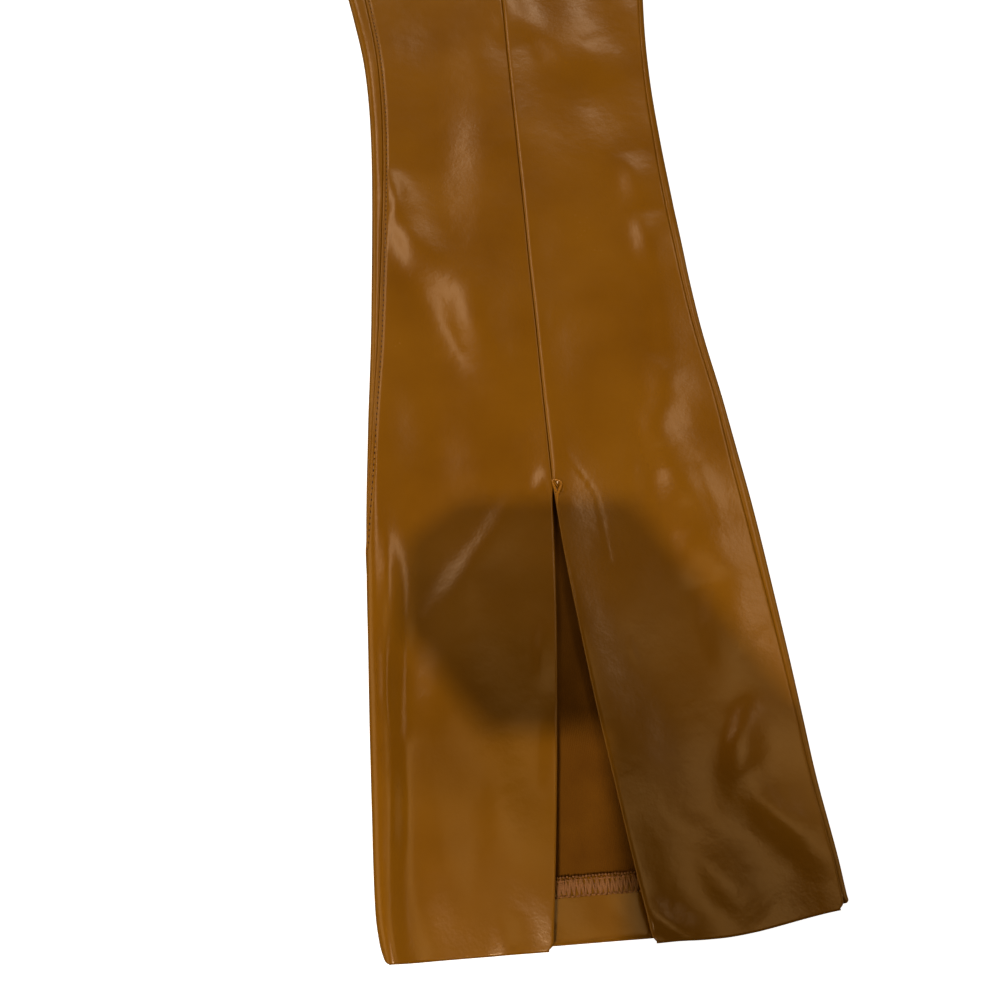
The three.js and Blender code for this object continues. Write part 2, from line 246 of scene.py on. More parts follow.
def slit_half(down, spread, power, start):
    """Half the opening of the front slit, on one side of the centre seam."""
    past = np.maximum(down - SLIT_TOP, 0)
    share = np.clip(past / (INSEAM - SLIT_TOP), 0, 1)
    return spread * share**power + start * (1 - np.exp(-past / SLIT_EASE))


def ridge(down, across, fold):
    """A soft ridge along a bent line, uneven in width, that dies away towards both ends."""
    start_down, start_across, end_down, end_across, half_width, rise, bend = fold
    run_down = end_down - start_down
    run_across = end_across - start_across
    length = math.hypot(run_down, run_across)
    along = ((down - start_down) * run_down + (across - start_across) * run_across) / length**2
    aside = ((across - start_across) * run_down - (down - start_down) * run_across) / length
    share = np.clip(along, 0, 1)
    aside = aside - bend * 4 * share * (1 - share)
    width = half_width * (0.75 + 0.5 * share) * (1 + 0.3 * np.tanh(aside / half_width))
    return rise * np.sin(math.pi * share) ** 1.2 * np.exp(-((aside / width) ** 2))


def folds_of(leg):
    """The folds of one leg, then its small creases, which lie mostly along the leg."""
    chance = np.random.default_rng(11 if leg == "left" else 29)
    large = np.concatenate([FOLDS, DENTS])
    if leg == "right":
        large[:, :4] += chance.uniform(-9, 9, (len(large), 4))
        large[:, 5] *= chance.uniform(0.7, 1.1, len(large))
        large[:, 6] *= chance.uniform(-0.5, 1.2, len(large))
    small = []
    for _ in range(SMALL_FOLDS):
        down = chance.uniform(-FRONT_RISE, INSEAM)
        across = chance.uniform(-115, 115)
        angle = chance.normal(0, 0.6)
        length = chance.uniform(*SMALL_LENGTH)
        rise = chance.uniform(*SMALL_RISE) * chance.choice((-0.6, 1))
        end = (down + length * math.cos(angle), across + length * math.sin(angle))
        small.append((down, across, *end, chance.uniform(*SMALL_WIDTH), rise, chance.uniform(-3, 3)))
    return np.concatenate([large, small])


def waves_of(leg):
    """The broad waves of one leg: angle, length, height and phase of each."""
    chance = np.random.default_rng(5 if leg == "left" else 17)
    length = np.geomspace(*WAVE_LENGTH, WAVES)
    angle = chance.uniform(0, math.pi, WAVES)
    height = WAVE_SLOPE * length / (2 * math.pi)
    phase = chance.uniform(0, 7, WAVES)
    return np.stack([angle, length, height, phase], -1)


def relief(leg, plane):
    """The height that folds, waves and the seam's allowances add at points of the table."""
    from_seam = plane - leg_point(np.zeros(1), np.zeros(1))
    down = from_seam @ LEG_DOWN
    across = from_seam @ LEG_OUT
    height = sum(ridge(down, across, fold) for fold in SHAPES[leg]["folds"])
    for angle, length, rise, phase in SHAPES[leg]["waves"]:
        way = across * math.cos(angle) + down * WAVE_STRETCH * math.sin(angle)
        height = height + rise * np.sin(2 * math.pi * way / length + phase)
    outer_edge = across - slit_half(down, *OUTER_SLIT)
    inner_edge = across + slit_half(down, *INNER_SLIT)
    from_peak = outer_edge - EDGE_PEAK
    stand = EDGE_STAND * np.exp(-((from_peak / np.where(from_peak < 0, *EDGE_SPREAD)) ** 2))
    inner_stand = INNER_STAND * np.exp(-((inner_edge / INNER_SPREAD) ** 2))
    return height + np.where(across > 0, stand, inner_stand)


SHAPES = {leg: {"folds": folds_of(leg), "waves": waves_of(leg)} for leg in ("left", "right")}


def skin(leg, down, side, reach):
    """Points of the outer skin. reach runs round it from the edge that side names, positive
    over the top and negative underneath."""
    row = level(down)
    depth = row[side + "_depth"]
    arc = row[side + "_arc"]
    length = np.abs(reach)
    on_top = reach >= 0
    turn = np.where(length < arc, length / np.maximum(arc, 1e-6), 1) * math.pi / 2
    across = np.where(length < arc, depth * (1 - np.cos(turn)), depth + length - arc)
    from_inner = across if side == "inner" else row["width"] - across
    at_top = np.maximum(across, depth)
    top_inner = at_top if side == "inner" else row["width"] - at_top
    run = (row["end"] - row["start"]) / row["width"][..., None]
    near_inner = np.exp(-((top_inner / row["inner_reach"]) ** 2))
    near_outer = np.exp(-(((row["width"] - top_inner) / ROLL_REACH) ** 2))
    middle = row["middle_high"]
    high = middle + (row["inner_high"] - middle) * near_inner
    high = high + (row["outer_high"] - middle) * near_outer
    high = high + relief(leg, row["start"] + run * top_inner[..., None])
    sine = np.where(on_top, 1, -1) * np.sin(turn)
    plane = row["start"] + run * from_inner[..., None]
    climb = np.clip(-down / FRONT_RISE, 0, 1) ** 2
    share = (1 - (from_inner / row["width"]) ** 2) ** 2
    waist = np.where(on_top, -WAIST_DIP, WAIST_RISE) * climb * share
    near_hem = np.clip((down - SLIT_TOP) / (INSEAM - SLIT_TOP), 0, 1.05) ** 2
    outward = np.clip((from_inner - row["seam"] - HEM_LIFT_FROM) / HEM_LIFT_RUN, 0, 1)
    hem = HEM_LIFT * near_hem * outward**2 * (3 - 2 * outward)
    from_side = np.clip(TUBE_CORNER - np.minimum(from_inner, row["width"] - from_inner), 0, TUBE_CORNER)
    at_hem = np.clip((down - INSEAM) / TUBE_CORNER_RUN + 1, 0, 1) ** 2
    hem = hem + at_hem * (TUBE_CORNER - np.sqrt(TUBE_CORNER**2 - from_side**2))
    y = plane[..., 1] + np.where(down > 0, hem, waist)
    return np.stack([plane[..., 0] + 0 * y, y, high / 2 * (1 + sine)], -1)


def unit(vectors):
    return vectors / np.linalg.norm(vectors, axis=-1, keepdims=True)


def skin_axes(leg, down, side, reach):
    """The directions along the leg, round the skin and out of it."""
    step = 0.35
    along = unit(skin(leg, down + step, side, reach) - skin(leg, down - step, side, reach))
    around = unit(skin(leg, down, side, reach + step) - skin(leg, down, side, reach - step))
    out = unit(np.cross(along, around)) * (1 if side == "inner" else -1)
    return along, around, out


EDGE_TURN = 0.8
EDGE_LIP = 1.0
EDGE_STEPS = 6
CORNER = 3.0
CORNER_TURN = 0.9
FINE = 0.6
FINE_WIDTH = 7.0
FINE_ROWS = 0.48
LOWER_LEG = 262.0


def corner_inset(down, hem):
    """How far a panel's side comes in near its hem, where the corner is round."""
    past = np.clip(down - (hem - EDGE_TURN - CORNER), 0, CORNER) * CORNER_TURN
    return CORNER - np.sqrt(CORNER**2 - past**2)


def cloth(leg, down, side, reach, low, high, top, hem, lift=0.0):
    """Points of a panel whose edges turn down with a small radius: low and high are its edges
    round the skin, top and hem its ends. Places past an edge run on over the turn, and lift
    raises points off the skin."""
    radius = EDGE_TURN
    flat_down = np.clip(down, top + radius, hem - radius)
    inset = corner_inset(flat_down, hem)
    flat_reach = np.clip(reach, low + radius + inset, high - radius - inset)
    flat_down, flat_reach = np.broadcast_arrays(flat_down, flat_reach)
    point = skin(leg, flat_down, side, flat_reach)
    along, around, out = skin_axes(leg, flat_down, side, flat_reach)
    sunk = 0
    for over, direction in ((reach - flat_reach, around), (down - flat_down, along)):
        turn = np.minimum(np.abs(over) / radius, math.pi / 2)
        point = point + direction * (np.sign(over) * radius * np.sin(turn))[..., None]
        drop = radius * (1 - np.cos(turn)) + np.maximum(np.abs(over) - radius * math.pi / 2, 0)
        sunk = np.maximum(sunk, drop)
    return point + out * (lift - sunk)[..., None]


def reach_of(row, side, inset):
    """How far round the skin a seam lies, from its distance in from the edge."""
    depth = np.maximum(row[side + "_depth"], 1e-6)
    size = np.abs(inset)
    rolled = np.arccos(np.clip(1 - size / depth, -1, 1)) / (math.pi / 2) * row[side + "_arc"]
    reach = np.where(size < depth, rolled, row[side + "_arc"] + size - depth)
    return np.sign(inset) * reach


def edge_run():
    """Places past an edge's flat part, over its turn and down its lip."""
    return np.linspace(0, EDGE_TURN * math.pi / 2 + EDGE_LIP, EDGE_STEPS + 1)[1:]


def across_panel(low, high, inset, count):
    """Places across a panel at every row, close together along both edges and over the turns."""
    past = edge_run()
    start = low + EDGE_TURN + inset
    end = high - EDGE_TURN - inset
    fine = np.arange(0, FINE_WIDTH, FINE)
    middle = np.linspace(0, 1, count)
    from_low = start + FINE_WIDTH
    to_high = end - FINE_WIDTH
    return np.concatenate([
        start - past[::-1],
        start + fine,
        from_low + (to_high - from_low) * middle,
        end - fine[::-1],
        end + past,
    ], -1)


def rows_down(top, hem, spacing_above, spacing_below, fine=()):
    """Distances below the fork for the rows of a panel, closer together in the lower leg, round
    the hem's corners and wherever fine names a stretch."""
    past = edge_run()
    start = top + EDGE_TURN
    end = hem - EDGE_TURN
    above = np.linspace(start, LOWER_LEG, int((LOWER_LEG - start) / spacing_above))[:-1]
    straight = end - CORNER
    below = np.linspace(LOWER_LEG, straight, int((straight - LOWER_LEG) / spacing_below))[:-1]
    corner = end - CORNER + CORNER * np.sin(np.linspace(0, math.pi / 2, 7))
    rows = np.concatenate([start - past[::-1], above, below, corner, end + past])
    for low, high in fine:
        between = np.arange(low, high, FINE_ROWS)
        rows = np.concatenate([rows[rows < low], between, rows[rows > high]])
    return rows[:, None]


def sheet_of_cloth(name, points, places, leg, flip):
    """A grid whose corners go to the given points, as one layer of cloth in metres. places
    holds each point's distance round and along the panel, for its UV map."""
    rows, columns = points.shape[:2]
    grid = bmesh.new()
    bmesh.ops.create_grid(grid, x_segments=columns - 1, y_segments=rows - 1, size=0.5)
    mesh = bpy.data.meshes.new(name)
    grid.to_mesh(mesh)
    grid.free()
    corner = np.empty(len(mesh.vertices) * 3)
    mesh.vertices.foreach_get("co", corner)
    corner = corner.reshape(-1, 3) + 0.5
    column = np.rint(corner[:, 0] * (columns - 1)).astype(int)
    row = np.rint(corner[:, 1] * (rows - 1)).astype(int)
    placed = points[row, column] * MM
    placed[:, 0] *= 1 if leg == "left" else -1
    mesh.vertices.foreach_set("co", placed.ravel())
    loop_vertex = np.empty(len(mesh.loops), int)
    mesh.loops.foreach_get("vertex_index", loop_vertex)
    layer = mesh.uv_layers.new(name="cloth")
    layer.data.foreach_set("uv", (places[row, column] * MM)[loop_vertex].ravel())
    if flip != (leg == "right"):
        mesh.flip_normals()
    mesh.shade_smooth()
    mesh.update()
    piece = bpy.data.objects.new(name, mesh)
    bpy.context.scene.collection.objects.link(piece)
    return piece


def thicken(piece, thickness, inside):
    """Gives a layer of cloth its thickness, inwards, with its backing on the inner face."""
    piece.data.materials.append(inside)
    solid = piece.modifiers.new("thickness", "SOLIDIFY")
    solid.thickness = thickness * MM
    solid.offset = -1
    solid.material_offset = 1
    solid.material_offset_rim = 0
    return piece


class Socket:
    """A shader socket that can be written into arithmetic, one Math node for each step."""

    def __init__(self, material, socket):
        self.material = material
        self.socket = socket

    def math(self, operation, other=0.0, flip=False):
        pair = (other, self) if flip else (self, other)
        return node(self.material, "ShaderNodeMath", {"operation": operation}, {0: pair[0], 1: pair[1]})

    def __add__(self, other):
        return self.math("ADD", other)

    def __radd__(self, other):
        return self.math("ADD", other, True)

    def __sub__(self, other):
        return self.math("SUBTRACT", other)

    def __rsub__(self, other):
        return self.math("SUBTRACT", other, True)

    def __mul__(self, other):
        return self.math("MULTIPLY", other)

    def __rmul__(self, other):
        return self.math("MULTIPLY", other, True)

    def __truediv__(self, other):
        return self.math("DIVIDE", other)

    def __pow__(self, other):
        return self.math("POWER", other)


def node(material, kind, settings=None, inputs=None, output=0):
    """A shader node: its settings, then its sockets' values or links. Returns one output."""
    made = material.node_tree.nodes.new(kind)
    for key, value in (settings or {}).items():
        if key == "stops":
            for _ in range(len(value) - 2):
                made.color_ramp.elements.new(0.5)
            for element, (place, colour) in zip(made.color_ramp.elements, value):
                element.position = place
                element.color = colour
        else:
            setattr(made, key, value)
    for key, value in (inputs or {}).items():
        if isinstance(value, Socket):
            material.node_tree.links.new(value.socket, made.inputs[key])
        else:
            made.inputs[key].default_value = value
    return Socket(material, made.outputs[output] if made.outputs else None)


def new_material(name):
    material = bpy.data.materials.new(name)
    material.use_nodes = True
    material.node_tree.nodes.clear()
    return material


def finish_material(material, inputs):
    """Joins the surface's sockets to a Principled shader and the material's output."""
    shader = node(material, "ShaderNodeBsdfPrincipled", {}, inputs)
    node(material, "ShaderNodeOutputMaterial", {}, {"Surface": shader})
    return material


def grey(value):
    return (value, value, value, 1)


def bump(material, height, strength, distance, under=None):
    """A bump of this depth in metres, laid over the one under it."""
    inputs = {"Height": height, "Strength": strength, "Distance": distance}
    if under is not None:
        inputs["Normal"] = under
    return node(material, "ShaderNodeBump", {}, inputs)


def coated_face(name, gain=1.0):
    """The glossy coat: a tan film, hardly grained, with fine crinkles. gain makes it paler, a painted
    highlight, as on the pleat's cords.
    """
    coat = new_material(name)
    place = node(coat, "ShaderNodeTexCoord", {}, {}, "Object")
    grain = node(coat, "ShaderNodeTexVoronoi", {"feature": "F1"}, {"Vector": place, "Scale": 900.0})
    pores = node(coat, "ShaderNodeTexNoise", {}, {"Vector": place, "Scale": 620.0, "Detail": 3.0})
    dents = node(coat, "ShaderNodeTexNoise", {}, {"Vector": place, "Scale": 130.0, "Detail": 2.0})
    hand = node(coat, "ShaderNodeTexNoise", {}, {"Vector": place, "Scale": 30.0, "Detail": 3.0})
    cloud = node(coat, "ShaderNodeTexNoise", {}, {"Vector": place, "Scale": 22.0, "Detail": 4.0})
    tones = [
        (0.28, (0.176, 0.068, 0.0006)),
        (0.5, (0.200, 0.080, 0.0010)),
        (0.74, (0.222, 0.092, 0.0016)),
    ]
    stops = [(at, tuple(gain * part for part in tone) + (1,)) for at, tone in tones]
    colour = node(coat, "ShaderNodeValToRGB", {"stops": stops}, {"Fac": cloud})
    fine = bump(coat, grain * 0.5 + pores, 0.6, 0.00006)
    small = bump(coat, dents, 0.5, 0.00024, fine)
    soft = bump(coat, hand, 0.6, 0.0008, small)
    rough = 0.185 + cloud * 0.08 + pores * 0.05
    return finish_material(coat, {
        "Base Color": colour,
        "Roughness": rough,
        "Specular IOR Level": 0.5,
        "Specular Tint": (1.0, 0.80, 0.58, 1),
        "Normal": soft,
    })


def knit_backing():
    """The inner face: a brushed knit, matt and short-napped, a little darker than the coat."""
    knit = new_material("knit backing")
    place = node(knit, "ShaderNodeTexCoord", {}, {}, "UV")
    stitch = node(knit, "ShaderNodeTexWave", {"wave_type": "BANDS", "bands_direction": "X"},
                  {"Vector": place, "Scale": 420.0, "Distortion": 2.5, "Detail": 2.0})
    nap = node(knit, "ShaderNodeTexNoise", {}, {"Vector": place, "Scale": 2200.0, "Detail": 3.0})
    tone = node(knit, "ShaderNodeTexNoise", {}, {"Vector": place, "Scale": 60.0, "Detail": 3.0})
    tones = [(0.3, (0.128, 0.045, 0.001, 1)), (0.7, (0.182, 0.070, 0.003, 1))]
    colour = node(knit, "ShaderNodeValToRGB", {"stops": tones}, {"Fac": tone * 0.6 + nap * 0.4})
    nap_bump = bump(knit, stitch * 0.5 + nap, 0.6, 0.00015)
    return finish_material(knit, {
        "Base Color": colour,
        "Roughness": 0.92,
        "Specular IOR Level": 0.15,
        "Sheen Weight": 0.15,
        "Sheen Roughness": 0.5,
        "Sheen Tint": (1.0, 0.7, 0.4, 1),
        "Normal": nap_bump,
    })


COATED = coated_face("coated face")
BACKING = knit_backing()

PANEL_TOP = -FRONT_RISE
INNER_FOLD_IN = 8
OUTER_REST = 3
FAR = 10000.0
WRINKLE = (673, 6, 682, 60, 1.3, 1.1, 2)


def back_panel(leg):
    hem = INSEAM - BACK_SETBACK
    down = rows_down(PANEL_TOP, hem, 6.0, 4.0, fine=[(664, 692)])
    row = level(np.clip(down, PANEL_TOP, hem))
    inset = corner_inset(down, hem)
    outer_seam = reach_of(row, "outer", row["outseam"])
    inner_seam = reach_of(row, "inner", row["inseam"])
    outer_rest = -row["outer_arc"] - OUTER_REST
    inner_rest = -row["inner_arc"] - INNER_FOLD_IN
    flat = row["width"] - row["outer_depth"] - row["inner_depth"] - OUTER_REST - INNER_FOLD_IN
    past = edge_run()
    outer_edge = outer_seam - EDGE_TURN - inset
    inner_edge = inner_seam - EDGE_TURN - inset
    outer_roll = outer_edge + (outer_rest - outer_edge) * np.linspace(0, 1, 13)[:-1]
    under = outer_rest - flat * np.linspace(0, 1, 43)[:-1]
    inner_roll = inner_rest + (inner_edge - inner_rest) * np.linspace(0, 1, 19)
    outer_reach = np.concatenate([outer_edge + past[::-1], outer_roll, under], -1)
    inner_reach = np.concatenate([inner_roll, inner_edge + past], -1)
    outer = cloth(leg, down, "outer", outer_reach, -FAR, outer_seam, PANEL_TOP, hem)
    inner = cloth(leg, down, "inner", inner_reach, -FAR, inner_seam, PANEL_TOP, hem)
    across = row["end"] - outer[..., :2]
    from_seam = row["width"] - row["seam"] - np.linalg.norm(across, axis=-1)
    outer[..., 2] += ridge(down, from_seam, WRINKLE) * (outer_reach < outer_rest)
    points = np.concatenate([outer, inner], 1)
    round_it = np.concatenate([-outer_reach, row["width"] + inner_reach], 1)
    places = np.stack([round_it, np.broadcast_to(down, round_it.shape)], -1)
    piece = sheet_of_cloth(f"back_panel_{leg}", points, places, leg, True)
    piece.data.materials.append(COATED)
    thicken(piece, CLOTH, BACKING)
    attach(piece, root)
    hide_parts(f"back_{leg}")
    return piece


for leg in ("left", "right"):
    back_panel(leg)


# Front inner panels, from the inside leg to the centre seam, which opens into the slit. The
# edges at the slit and the hem are turned in, so they are rounded. A row of edge stitches holds
# the inside seam's allowances flat, a little in from the seam; their dark thread is painted shade.
FRONT_COLUMNS = 54
SEAM_PRESS = 0.2
STITCH_IN = 1.9
STITCH_PITCH = 2.86
STITCH_LONG = 1.5
STITCH_RADIUS = 0.34
STITCH_BATCH = 16
STITCH_SIDES = 6
STITCH_RINGS = 4
SEAM_RIDGE = (0.28, 0.9, 0.8)
SEAM_GROOVE = (0.45, STITCH_IN, 0.55)


def thread(name, colour, roughness):
    """Spun polyester thread with a faint twist."""
    yarn = new_material(name)
    place = node(yarn, "ShaderNodeTexCoord", {}, {}, "Object")
    twist = node(yarn, "ShaderNodeTexNoise", {}, {"Vector": place, "Scale": 1800.0, "Detail": 2.0})
    tones = [(0.3, tuple(0.7 * part for part in colour) + (1,)), (0.7, colour + (1,))]
    shade = node(yarn, "ShaderNodeValToRGB", {"stops": tones}, {"Fac": twist})
    twist_bump = bump(yarn, twist, 0.5, 0.0001)
    return finish_material(yarn, {
        "Base Color": shade,
        "Roughness": roughness,
        "Specular IOR Level": 0.3,
        "Normal": twist_bump,
    })


def stitches(name, leg, centres, ways, lengths, radius, material):
    """One object of thread stitches: an ellipsoid at each centre, lying along its way. They are
    made a few at a time, as that is quicker."""
    sewing = bmesh.new()
    side = 1 if leg == "left" else -1
    for first in range(0, len(centres), STITCH_BATCH):
        few = bmesh.new()
        batch = slice(first, first + STITCH_BATCH)
        for centre, way, length in zip(centres[batch], ways[batch], lengths[batch]):
            place = Vector((side * centre[0], centre[1], centre[2])) * MM
            lying = Vector((side * way[0], way[1], way[2])).to_track_quat("X", "Z")
            size = Matrix.Diagonal((length / 2 * MM, radius * MM, radius * MM, 1))
            placed = Matrix.Translation(place) @ lying.to_matrix().to_4x4() @ size
            bmesh.ops.create_uvsphere(few, u_segments=STITCH_SIDES, v_segments=STITCH_RINGS, radius=1,
                                      matrix=placed)
        part = bpy.data.meshes.new(name)
        few.to_mesh(part)
        few.free()
        sewing.from_mesh(part)
        bpy.data.meshes.remove(part)
    mesh = bpy.data.meshes.new(name)
    sewing.to_mesh(mesh)
    sewing.free()
    mesh.shade_smooth()
    mesh.materials.append(material)
    piece = bpy.data.objects.new(name, mesh)
    bpy.context.scene.collection.objects.link(piece)
    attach(piece, root)
    return piece


# The edge stitches' thread is nearly black: painted shade of the dimples that the stitches sink into.
EDGE_THREAD_IN_PAINTED_SHADE = thread("edge thread in painted shade", (0.060, 0.019, 0.002), 0.8)


def seam_profile(from_edge):
    """The swelling between a seam and its edge stitches, and the groove that they pull in, each
    with its height, its place in from the edge and its half width."""
    rise, ridge_in, ridge_half = SEAM_RIDGE
    depth, groove_in, groove_half = SEAM_GROOVE
    swell = rise * np.exp(-(((from_edge - ridge_in) / ridge_half) ** 2))
    return swell - depth * np.exp(-(((from_edge - groove_in) / groove_half) ** 2))


def front_inner(leg):
    down = rows_down(PANEL_TOP, INSEAM, 4.5, 1.7)
    row = level(np.clip(down, PANEL_TOP, INSEAM))
    low = reach_of(row, "inner", row["inseam"])
    high = reach_of(row, "inner", row["seam"]) - slit_half(down, *INNER_SLIT) + SEAM_PRESS
    reach = across_panel(low, high, corner_inset(down, INSEAM), FRONT_COLUMNS)
    on_leg = np.clip(down / 20, 0, 1)
    lift = seam_profile(reach - low) * on_leg
    points = cloth(leg, down, "inner", reach, low, high, PANEL_TOP, INSEAM, lift)
    places = np.stack([reach, np.broadcast_to(down, reach.shape)], -1)
    piece = sheet_of_cloth(f"front_inner_panel_{leg}", points, places, leg, True)
    piece.data.materials.append(COATED)
    thicken(piece, CLOTH, BACKING)
    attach(piece, root)
    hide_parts(f"front_inner_{leg}")
    return piece


def edge_stitches(leg):
    down = np.arange(6, INSEAM - 6, STITCH_PITCH)[:, None]
    row = level(down)
    seam = reach_of(row, "inner", row["inseam"])
    place = seam + STITCH_IN
    lift = seam_profile(np.full_like(place, STITCH_IN))
    centres = cloth(leg, down, "inner", place, -FAR, FAR, PANEL_TOP, INSEAM, lift)[:, 0]
    along, _, _ = skin_axes(leg, down, "inner", place)
    lengths = np.full(len(centres), STITCH_LONG)
    return stitches(f"edge_stitches_{leg}", leg, centres, along[:, 0], lengths, STITCH_RADIUS, EDGE_THREAD_IN_PAINTED_SHADE)


for leg in ("left", "right"):
    panel = front_inner(leg)
    sewing = edge_stitches(leg)

# Front outer panels, from the centre seam to the outside leg. The seam's allowances are
# pressed towards this panel, so its edge stands a little higher along the seam. At the top of
# the slit the edge is caught down in a small pleat.
TACK_HOLLOW = (594.6, 1.6, 601.6, 2.0, 1.3, -1.8, 0)
CREASE_LINE = [
    (580, 7.2),
    (592, 13.2),
    (597, 16.4),
    (603, 19.0),
    (610, 19.6),
    (616, 20.4),
    (625, 20.6),
    (640, 22.0),
]
CREASE_BELOW = (668, 25, 682, 28, 0.9, 0.24, 0)
CREASE_STEP = 5.0
CREASE_WIDTH = 0.8
CREASE_RISE = 0.30


def creases():
    """The sharp crease beside the slit's top: short ridges one after another along its line."""
    chance = np.random.default_rng(8)
    line = np.array(CREASE_LINE)
    starts = np.arange(line[0, 0], line[-1, 0], CREASE_STEP)
    place = np.stack([starts, np.interp(starts, line[:, 0], line[:, 1])], -1)
    rows = []
    for (down, across), (end_down, end_across) in zip(place[:-1], place[1:]):
        rise = CREASE_RISE * chance.uniform(0.5, 1.2)
        start = (down - 1, across + chance.normal(0, 0.25))
        rows.append((*start, end_down + 1, end_across, CREASE_WIDTH, rise, 0))
    rows.append(CREASE_BELOW)
    return rows


def front_outer(leg):
    down = rows_down(PANEL_TOP, INSEAM, 4.5, 1.7, fine=[(590, 604)])
    row = level(np.clip(down, PANEL_TOP, INSEAM))
    low = reach_of(row, "outer", row["outseam"])
    high = reach_of(row, "outer", row["width"] - row["seam"]) - slit_half(down, *OUTER_SLIT)
    reach = across_panel(low, high, corner_inset(down, INSEAM), FRONT_COLUMNS)
    from_seam = high - reach + slit_half(down, *OUTER_SLIT)
    lift = sum(ridge(down, from_seam, crease) for crease in creases() + [TACK_HOLLOW])
    points = cloth(leg, down, "outer", reach, low, high, PANEL_TOP, INSEAM, lift)
    places = np.stack([reach, np.broadcast_to(down, reach.shape)], -1)
    piece = sheet_of_cloth(f"front_outer_panel_{leg}", points, places, leg, False)
    piece.data.materials.append(COATED)
    thicken(piece, CLOTH, BACKING)
    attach(piece, root)
    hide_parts(f"front_outer_{leg}")
    return piece


# The pleat's three folded edges: down from the fork, across from the seam and thickness.
PLEAT = [
    [(595.0, 0.2, 0.6), (595.0, 1.4, 0.8), (595.4, 2.8, 0.8), (596.0, 3.9, 0.8), (597.4, 3.8, 1.0),
     (599.2, 3.0, 1.2), (601.2, 2.0, 1.2), (603.0, 1.4, 0.9), (607.0, 1.4, 0.4)],
    [(594.8, 0.2, 0.5), (596.4, 0.3, 0.9), (598.4, 0.7, 1.1), (600.2, 1.2, 1.1), (602.0, 1.9, 0.9)],
    [(596.2, 0.9, 0.5), (597.4, 1.5, 0.6), (598.6, 1.9, 0.4)],
]
PLEAT_RADIUS = 0.56
# A paler copy of the coat: painted highlight for the lit folded edges of the pleat's cords.
PAINTED_HIGHLIGHT_COAT = coated_face("coat with painted highlight", 1.5)


def pleat(leg):
    """The small pleat over the top of the slit, its folded edges as three soft cords in the paler coat,
    which paints their highlight.
    """
    line = bpy.data.curves.new(f"slit_pleat_{leg}", "CURVE")
    line.dimensions = "3D"
    line.bevel_depth = PLEAT_RADIUS * MM
    line.bevel_resolution = 3
    line.use_fill_caps = True
    side = 1 if leg == "left" else -1
    for path in PLEAT:
        down, across, thick = (np.array(column)[:, None] for column in zip(*path))
        row = level(down)
        reach = reach_of(row, "outer", row["width"] - row["seam"]) - across
        points = cloth(leg, down, "outer", reach, -FAR, FAR, PANEL_TOP, INSEAM, PLEAT_RADIUS * 0.6)[:, 0]
        spline = line.splines.new("NURBS")
        spline.points.add(len(points) - 1)
        spline.use_endpoint_u = True
        spline.order_u = 3
        for knot, point, size in zip(spline.points, points, thick[:, 0]):
            knot.co = (side * point[0] * MM, point[1] * MM, point[2] * MM, 1)
            knot.radius = size
    curve = bpy.data.objects.new("pleat line", line)
    bpy.context.scene.collection.objects.link(curve)
    graph = bpy.context.evaluated_depsgraph_get()
    mesh = bpy.data.meshes.new_from_object(curve.evaluated_get(graph))
    bpy.data.objects.remove(curve)
    mesh.materials.clear()
    # Painted highlight: the cords take the paler copy of the coat.
    mesh.materials.append(PAINTED_HIGHLIGHT_COAT)
    mesh.shade_smooth()
    piece = bpy.data.objects.new(f"slit_pleat_{leg}", mesh)
    bpy.context.scene.collection.objects.link(piece)
    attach(piece, root)
    return piece


for leg in ("left", "right"):
    front_outer(leg)
    pleat(leg)


# Turned-up hem of the back panel, which shows its coated face through the slit. Its raw edge is
# overlocked: threads run to and fro over the edge and a needle row holds them below it.
TURN_LIFT = 0.25
TURN_MARGIN = 1.5
HEM_BEND = 1.4
RAW_CURL = (0.9, 3.5)
HEM_RIPPLE = (0.35, 41, 11, 8)
HEM_COLUMNS = 160
HEM_ACROSS = 172.0
LOOP_PITCH = 2.1
LOOP_HIGH = 7.2
LOOP_RADIUS = 0.45
LOOP_LAYERS = ((0.0, 0.0), (0.3, 0.6))
NEEDLE_ROWS = ((LOOP_HIGH * 0.2, 1.9), (LOOP_HIGH * 0.5, 2.6), (LOOP_HIGH, 2.1), (0.25, 1.3))
LOOP_THREAD = thread("overlock thread", (0.32, 0.138, 0.048), 0.6)


def hem_surface(leg, down, share):
    """Points of the turned-up hem's face, share being the way across from the outside leg."""
    row = level(down)
    start = -row["outer_arc"] - TURN_MARGIN
    flat = row["width"] - row["outer_depth"] - row["inner_depth"] - 2 * TURN_MARGIN
    reach = start - flat * share
    point = skin(leg, down + 0 * reach, "outer", reach)
    point[..., 1] += BACK_SETBACK
    past = np.clip(down - (INSEAM - HEM_BEND), 0, HEM_BEND)
    curl_rise, curl_half = RAW_CURL
    curl = curl_rise * np.exp(-(((down - INSEAM + TURN_UP) / curl_half) ** 2))
    ripple_rise, ripples, ripple_up, ripple_half = HEM_RIPPLE
    near_ripple = np.exp(-(((down - INSEAM + ripple_up) / ripple_half) ** 2))
    wave = ripple_rise * np.sin(share * ripples) * near_ripple
    bend = HEM_BEND - np.sqrt(np.maximum(HEM_BEND**2 - past**2, 0))
    point[..., 2] = 2 * CLOTH + TURN_LIFT + curl + wave - bend
    return point, reach


def turned_hem(leg):
    low = INSEAM - TURN_UP
    bend = INSEAM - HEM_BEND + HEM_BEND * np.sin(np.linspace(0, math.pi / 2, 6))
    down = np.concatenate([np.linspace(low, INSEAM - HEM_BEND, 22)[:-1], bend])[:, None]
    points, reach = hem_surface(leg, down, np.linspace(0, 1, HEM_COLUMNS))
    places = np.stack([-reach, np.broadcast_to(down, reach.shape)], -1)
    piece = sheet_of_cloth(f"turned_hem_{leg}", points, places, leg, False)
    piece.data.materials.append(COATED)
    thicken(piece, CLOTH, BACKING)
    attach(piece, root)
    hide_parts(f"back_hem_turnup_{leg}")
    return piece


